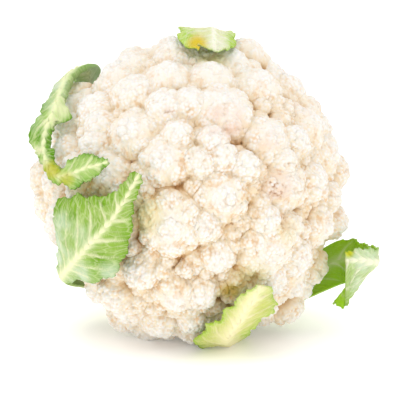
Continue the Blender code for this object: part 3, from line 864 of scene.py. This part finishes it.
def leafSurface(leaf, finer):  # middle surface before it is settled, and what the veins need
    rows, columns = (count * more for count, more in zip(leaf["grid"], finer))
    fine = finer[0] > 1
    hug = leaf.get("hug", leafShape["hug"])
    points = np.zeros((rows + 1, columns + 1, 3))
    offsets, crosses, thickness = (np.zeros((rows + 1, columns + 1)) for _ in range(3))
    lengths = np.zeros(rows + 1)
    last = leaf["way"][0]
    for i in range(rows + 1):
        share = i / rows
        at, side, outside = leafFrame(leaf, share)
        if i:
            lengths[i] = lengths[i - 1] + np.linalg.norm(at - last)
        last = at
        left, rightHalf = leafHalves(leaf, share, lengths[i], fine)
        slant = blendRows(leaf.get("slant", [(0, 0), (1, 0)]), share)[0]
        for j in range(columns + 1):
            cross = 2 * j / columns - 1
            cross = math.copysign(abs(cross) ** 1.4, cross)
            offset = cross * (rightHalf if cross > 0 else left)
            bend = offset / hug
            spot = at + side * (math.sin(bend) * hug) - outside * ((1 - math.cos(bend)) * hug)
            spot = spot - right * (slant * max(offset, 0))
            spot = spot + outside * leafLift(leaf, share, lengths[i], cross, offset, fine)
            points[i, j] = spot
            offsets[i, j] = offset
            crosses[i, j] = cross
            thickness[i, j] = leafThickness(share, abs(offset))
    if fine:
        grids = (offsets, thickness, *np.moveaxis(points, 2, 0))
        notch(grids, leaf.get("notches", []), crosses, lengths[-1])
    return points, offsets, crosses, thickness, lengths


def around(grid):  # each value with its eight neighbours
    padded = np.pad(grid, 1, mode="edge")
    rows, columns = grid.shape
    return [padded[i : i + rows, j : j + columns] for i in range(3) for j in range(3)]


def leafPush(leaf):  # how far each coarse point is lifted off the florets
    points, _, _, thickness, _ = leafSurface(leaf, (1, 1))
    distance = np.linalg.norm(points, axis=-1)
    flat = (points / distance[..., None]).reshape(-1, 3)
    rows = np.vstack([solidBalls[:, :4], solidBalls[:, :4] * (0.85, 0.85, 0.85, 1)])
    reach, _, _ = ballReach(flat, rows)
    wanted = reach.reshape(distance.shape) + thickness / 2 + leafShape["clearance"]
    push = np.maximum(wanted - distance, 0)
    push = np.max(around(push), axis=0)
    return np.mean(around(push), axis=0)


def finerGrid(grid, finer):  # the same values on more rows and columns, smoothed
    rows, columns = grid.shape
    fineRows = np.linspace(0, rows - 1, (rows - 1) * finer[0] + 1)
    fineColumns = np.linspace(0, columns - 1, (columns - 1) * finer[1] + 1)
    tall = np.array([np.interp(fineRows, np.arange(rows), grid[:, j]) for j in range(columns)]).T
    wide = np.array([np.interp(fineColumns, np.arange(columns), row) for row in tall])
    for _ in range(finer[0] // 2):
        wide = np.mean(around(wide), axis=0)
    return wide


def veinPattern(offsets, lengths, crosses, ribWidths):  # 1 on the rib and the veins, 0 between them
    down = lengths[:, None]
    share = down / lengths[-1]
    fade = np.abs(crosses)
    rib = np.exp(-((offsets / (ribWidths[0] + (ribWidths[1] - ribWidths[0]) * share)) ** 2) * 1.2)
    wander = 1.2 * np.sin(offsets * 0.21 + down * 0.13) + 0.7 * np.sin(down * 0.31)
    apart = np.where(offsets > 0, 4.6, 0)  # the two sides' veins don't start at the same places
    run = down - np.abs(offsets) * 0.85 - offsets**2 * 0.012 + wander + apart
    every = leafShape["sideVeins"]
    away = np.abs((run / every + 0.5) % 1 - 0.5) * every
    side = np.exp(-((away * 0.72 / (0.9 - 0.6 * fade)) ** 2)) * (1 - fade**3)
    side = side * np.clip((share - 0.25) * 4, 0, 1)
    between = np.abs((run / leafShape["fineVeins"] + down / 7 + offsets / 5) % 1 - 0.5) * 2
    thin = np.exp(-(((1 - between) / 0.14) ** 2)) * 0.3 * np.clip((share - 0.3) * 4, 0, 1)
    return rib, np.maximum(side, thin * (1 - fade**2)), run


def onPicture(points, spots):  # like spotStrength, but on all that is on the camera's side
    strength = np.zeros(len(points))
    depth = points @ toward
    shrink = 1 - depth / pose["eyeDistance"]
    for across, above, radius, most in spots:
        away = np.hypot(points @ right / shrink - across, points @ up / shrink - above)
        strength = np.maximum(strength, most * smoothStep(radius * 1.3, radius * 0.3, away))
    return strength * smoothStep(0, 12, depth)


def leafMaterial(name, look):
    material, tree, shader = newMaterial(name, 0.42, 0.1, (0.5, 1.0, 0.25), 0.0012)
    shader.inputs["Specular IOR Level"].default_value = 0.12
    pale = look["pale"]
    bloom = tuple(0.35 * a + 0.65 * b for a, b in zip(look["outer"], (0.70, 0.80, 0.70)))
    lighter = tuple(0.8 * a + 0.2 * b for a, b in zip(look["outer"], pale))
    patchy = placed(tree, mottle, Scale=75, Low=0.35, High=0.65)["Amount"]
    streaks = placed(tree, mottle, Scale=260, Low=0.4, High=0.6)["Amount"]
    net = placed(tree, cells, "weave", Scale=330, Width=0.12, Warp=0.0012)
    colour = mixColour(tree, maths(tree, "MULTIPLY", patchy, 0.7), look["outer"], lighter)
    colour = mixColour(tree, attributeValue(tree, "edge"), colour, look["margin"])
    colour = mixColour(tree, attributeValue(tree, "inner"), colour, look["inner"])
    dark = maths(tree, "MULTIPLY", attributeValue(tree, "dark"), maths(tree, "ADD", streaks, 0.5), True)
    colour = mixColour(tree, dark, colour, look["margin"])
    frost = maths(tree, "MULTIPLY", attributeValue(tree, "frost"), maths(tree, "ADD", patchy, 0.45), True)
    colour = mixColour(tree, frost, colour, bloom)
    lines = maths(tree, "MULTIPLY", net["Lines"], 0.3)
    free = maths(tree, "SUBTRACT", 1.0, attributeValue(tree, "rib"))
    outer = maths(tree, "SUBTRACT", 1.0, attributeValue(tree, "inner"))
    lines = maths(tree, "MULTIPLY", lines, maths(tree, "MULTIPLY", outer, free))
    colour = mixColour(tree, lines, colour, pale)
    colour = mixColour(tree, maths(tree, "MULTIPLY", attributeValue(tree, "light"), 0.9), colour, pale)
    colour = mixColour(tree, maths(tree, "MULTIPLY", attributeValue(tree, "vein"), 0.9), colour, pale)
    colour = mixColour(tree, attributeValue(tree, "base"), colour, pale)
    colour = mixColour(tree, attributeValue(tree, "rib"), colour, tuple(min(c * 1.08, 1) for c in pale))
    colour = mixColour(tree, attributeValue(tree, "yellow"), colour, look.get("gold", (0.56, 0.60, 0.03)))
    tree.links.new(colour, shader.inputs["Base Color"])
    height = maths(tree, "ADD", net["Height"], maths(tree, "MULTIPLY", streaks, 0.2))
    bumpInto(tree, shader, maths(tree, "MULTIPLY", height, free), 0.6, 0.0014)
    return material


def thicken(piece, thickness):  # gives a leaf its two faces, the second face's points after the first's
    thickest = leafShape["thickest"]
    least = 0.1
    group = piece.vertex_groups.new(name="thickness")
    for index, weight in enumerate(thickness / thickest):
        group.add([index], (weight - least) / (1 - least), "REPLACE")
    solid = piece.modifiers.new("thickness", "SOLIDIFY")
    solid.thickness = thickest * mm
    solid.offset = 0
    solid.vertex_group = "thickness"
    solid.thickness_vertex_group = least
    graph = bpy.context.evaluated_depsgraph_get()
    piece.data = bpy.data.meshes.new_from_object(piece.evaluated_get(graph))
    piece.modifiers.clear()
    return piece.data


def raiseVeins(mesh, middle, vein):  # raised on the outer face, and sunk in the inner one
    half = len(middle)
    places = np.zeros(len(mesh.vertices) * 3)
    mesh.vertices.foreach_get("co", places)
    places = places.reshape(-1, 3) / mm - headCentre
    normals = places[:half] - places[half:]
    gap = np.linalg.norm(normals, axis=1)[:, None]
    normals /= gap
    relief = (vein * leafShape["veinRelief"])[:, None] * np.minimum(gap / leafShape["blade"], 1)
    outerFirst = np.sum(normals * middle) > 0
    sign = 1 if outerFirst else -1
    outer, inner = slice(0, half), slice(half, None)
    if not outerFirst:
        outer, inner = inner, outer
    places[outer] += sign * normals * relief
    places[inner] += sign * normals * relief * 0.6
    places[:, 2] = np.maximum(places[:, 2], -headCentre[2])
    setPlaces(mesh, places)
    return places, inner


def makeLeaf(name, leaf):
    finer = leafShape["finer"]
    if name in shortWays:
        finer = leafShape["finerShort"]
    look = leafLooks.get(name, leafLooks["short"])
    points, offsets, crosses, thickness, lengths = leafSurface(leaf, finer)
    distance = np.linalg.norm(points, axis=-1)[..., None]
    points = points * ((distance + finerGrid(leafPush(leaf), finer)[..., None]) / distance)
    points[..., 2] = np.maximum(points[..., 2], thickness * 0.45 - headCentre[2])
    rib, vein, run = veinPattern(offsets, lengths, crosses, look.get("rib", (5.5, 1.3)))
    rows, columns = points.shape[0] - 1, points.shape[1] - 1
    bm = bmesh.new()
    bmesh.ops.create_grid(bm, x_segments=rows, y_segments=columns, size=0.5)
    order = [(round((v.co.x + 0.5) * rows), round((v.co.y + 0.5) * columns)) for v in bm.verts]
    i, j = np.array(order).T  # the row and the column of each vertex
    for face in bm.faces:
        face.smooth = True
    piece = newPiece(name + "_fine", bm, leafMaterial(name + "_look", look), name)
    setPlaces(piece.data, points[i, j])
    mesh = thicken(piece, thickness[i, j])
    places, innerHalf = raiseVeins(mesh, points[i, j] / distance[i, j], vein[i, j])
    inner = np.zeros(len(places))
    inner[innerHalf] = 0.88
    share = (lengths / lengths[-1])[:, None]
    edge = np.abs(crosses) ** 4 * 0.8 * smoothStep(leafShape["freeFrom"], 0.5, share)
    base = (1 - smoothStep(0.2, 0.4, share)) * np.ones_like(crosses) * 0.75
    masks = {"rib": np.tile(rib[i, j] * 0.95, 2) * (1 - 0.75 * inner),
             "vein": np.tile(vein[i, j], 2) * (1 - 0.6 * inner), "edge": np.tile(edge[i, j], 2),
             "base": np.tile(base[i, j], 2) * (1 - 0.6 * inner), "inner": inner}  # fmt: skip
    for label in ("frost", "dark", "light", "yellow"):
        masks[label] = onPicture(places, look.get(label, [])) * (1 - inner)
    for label, values in masks.items():
        setFloats(mesh, label, values)
    weave = np.stack([run, offsets * 0.45, np.zeros_like(run)], axis=-1)[i, j]
    layer = mesh.attributes.new("weave", "FLOAT_VECTOR", "POINT")
    layer.data.foreach_set("vector", (np.tile(weave, (2, 1)) * mm).astype(np.float32).ravel())


for name, leaf in leaves.items():
    makeLeaf(name, leaf)
    print("leaf:", name)


# The stalk, turned, with the scars of leaves that were cut away

stalk = {
    "radius": 20,
    "flare": 1.9,  # how much wider it is under the head
    "taper": 0.05,  # at each of its 19 rings
    "top": -50.3,  # along the head's axis
    "end": -85,
    "bevel": 2,
    "cutRings": (15, 13, 11, 9, 6, 3, 0),
    "segments": 96,
    "dent": 0.025,
    "green": (0.60, 0.70, 0.34),
    "pale": (0.80, 0.84, 0.56),
    "cut": (0.86, 0.83, 0.66),
    "ring": (0.60, 0.58, 0.30),
    "fibre": (0.66, 0.62, 0.36),
}


def stalkMaterial():
    material, tree, shader = newMaterial("stalk_look", 0.5, 0.15, (1, 0.8, 0.4), 0.002)
    patchy = placed(tree, mottle, Scale=60, Low=0.3, High=0.7)["Amount"]
    fibres = placed(tree, cells, Scale=260, Width=0.2, Warp=0.002)
    colour = mixColour(tree, patchy, stalk["green"], stalk["pale"])
    colour = mixColour(tree, attributeValue(tree, "cut"), colour, stalk["cut"])
    colour = mixColour(tree, attributeValue(tree, "ring"), colour, stalk["ring"])
    colour = mixColour(tree, maths(tree, "MULTIPLY", fibres["Lines"], 0.2), colour, stalk["fibre"])
    tree.links.new(colour, shader.inputs["Base Color"])
    bumpInto(tree, shader, fibres["Height"], 0.4, 0.0005)
    return material


def stalkProfile():  # (from the axis, along it)
    radius, flare, end, bevel = (stalk[key] for key in ("radius", "flare", "end", "bevel"))
    profile = [(0, stalk["top"]), (radius + flare, stalk["top"])]
    for i in range(1, 20):
        along = stalk["top"] + (end + bevel - stalk["top"]) * i / 20
        profile.append((radius + flare * max(1 - i / 6, 0) - stalk["taper"] * i, along))
    profile += [(radius - 1, end + bevel), (radius - 1.6, end + bevel * 0.4), (radius - 3, end)]
    return profile + [(ring, end) for ring in stalk["cutRings"]]


def dentStalk(vert):  # scars down the side, and faint rings on the cut
    out = math.hypot(vert.co.x, vert.co.y)
    turn = math.atan2(vert.co.y, vert.co.x)
    if out > 14 and vert.co.z < stalk["top"] - 1:
        dent = 0.5 * math.sin(7 * turn + vert.co.z * 0.2)
        dent += 0.35 * math.sin(13 * turn - vert.co.z * 0.5)
        vert.co.x *= 1 - max(dent, 0) * stalk["dent"]
        vert.co.y *= 1 - max(dent, 0) * stalk["dent"]
    if vert.co.z < stalk["end"] + 0.1 and out < 16:
        vert.co.z += 0.35 * math.cos(out * 0.9) - 0.3
        vert.co.z = max(vert.co.z, stalk["end"])


def makeStalk():
    bm = bmesh.new()
    points = [bm.verts.new((out, 0, along)) for out, along in stalkProfile()]
    edges = [bm.edges.new(pair) for pair in zip(points, points[1:])]
    bmesh.ops.spin(bm, geom=points + edges, cent=(0, 0, 0), axis=(0, 0, 1),
                   angle=math.tau, steps=stalk["segments"], use_merge=True)  # fmt: skip
    bmesh.ops.remove_doubles(bm, verts=bm.verts, dist=0.05)
    bmesh.ops.recalc_face_normals(bm, faces=bm.faces)
    for vert in bm.verts:
        dentStalk(vert)
    for face in bm.faces:
        face.smooth = True
    turn = Vector(axis).to_track_quat("Z", "Y").to_matrix()
    bmesh.ops.rotate(bm, verts=bm.verts, matrix=turn)
    places = np.array([vert.co[:] for vert in bm.verts])
    piece = newPiece("stalk_fine", bm, stalkMaterial(), "stalk")
    setPlaces(piece.data, places)
    depths = places @ axis
    outs = np.linalg.norm(places - depths[:, None] * axis, axis=1)
    cut = (depths < stalk["end"] + 1.2) * 1.0
    setFloats(piece.data, "cut", cut)
    setFloats(piece.data, "ring", np.exp(-(((outs - 13.5) / 1.3) ** 2)) * cut)


makeStalk()
print("stalk")


# Floor, light and camera

studio = {  # lengths in metres here
    "world": (1.02, 1.01, 1.0),
    "floor": (0.965, 0.955, 0.945),
    "floorGlow": (0.13, 0.34),  # a white table that glows, least where the head stands on it, which paints a soft shadow round its foot
    "paintedShadowReach": (0.03, 0.095),  # how far from the middle the glow is still least (the painted shadow), and is full
    "key": dict(place=(-0.45, -0.75, 1.45), size=0.8, power=2.9),
    "fill": dict(place=(0.9, -0.8, 0.9), size=1.2, power=0.4),
}


def areaLight(name, place, size, power):
    data = bpy.data.lights.new(name, "AREA")
    data.energy = power
    data.size = size
    lamp = bpy.data.objects.new(name, data)
    bpy.context.scene.collection.objects.link(lamp)
    lamp.location = place
    lamp.rotation_mode = "QUATERNION"
    lamp.rotation_quaternion = (Vector((0, 0, 0.08)) - Vector(place)).to_track_quat("-Z", "Y")


def makeStudio():
    bm = bmesh.new()
    bmesh.ops.create_circle(bm, cap_ends=True, radius=8, segments=64)
    mesh = bpy.data.meshes.new("floor")
    bm.to_mesh(mesh)
    bm.free()
    floor = bpy.data.objects.new("floor", mesh)
    bpy.context.scene.collection.objects.link(floor)
    material = bpy.data.materials.new("floor")
    material.use_nodes = True
    shader = material.node_tree.nodes["Principled BSDF"]
    shader.inputs["Base Color"].default_value = (*studio["floor"], 1)
    shader.inputs["Roughness"].default_value = 0.9
    shader.inputs["Specular IOR Level"].default_value = 0.1
    shader.inputs["Emission Color"].default_value = (1, 1, 1, 1)
    tree = material.node_tree
    # The floor glows, least round the head's foot, which paints a soft contact shadow there.
    place = tree.nodes.new("ShaderNodeTexCoord").outputs["Object"]
    away = addNode(tree, "ShaderNodeVectorMath", operation="LENGTH")
    glow = addNode(tree, "ShaderNodeMapRange", interpolation_type="SMOOTHSTEP")
    glow.inputs["From Min"].default_value, glow.inputs["From Max"].default_value = studio["paintedShadowReach"]
    glow.inputs["To Min"].default_value, glow.inputs["To Max"].default_value = studio["floorGlow"]
    tree.links.new(place, away.inputs[0])
    tree.links.new(away.outputs["Value"], glow.inputs["Value"])
    tree.links.new(glow.outputs["Result"], shader.inputs["Emission Strength"])
    mesh.materials.append(material)
    world = bpy.data.worlds.new("studio")
    bpy.context.scene.world = world
    world.use_nodes = True
    world.node_tree.nodes["Background"].inputs["Color"].default_value = (*studio["world"], 1)
    areaLight("key", **studio["key"])
    areaLight("fill", **studio["fill"])
    bpy.context.scene.view_settings.view_transform = "Standard"


def makeCamera():
    data = bpy.data.cameras.new("camera")
    camera = bpy.data.objects.new("camera", data)
    bpy.context.scene.collection.objects.link(camera)
    eye = (headCentre + toward * pose["eyeDistance"]) * mm
    camera.location = eye
    camera.rotation_euler = (math.pi / 2 - dip, 0, 0)
    data.sensor_width = 36
    data.lens = 36 * pose["eyeDistance"] / pose["frameWidth"]
    data.shift_x, data.shift_y = pose["aside"]
    data.clip_end = 50
    bpy.context.scene.camera = camera


makeStudio()
makeCamera()
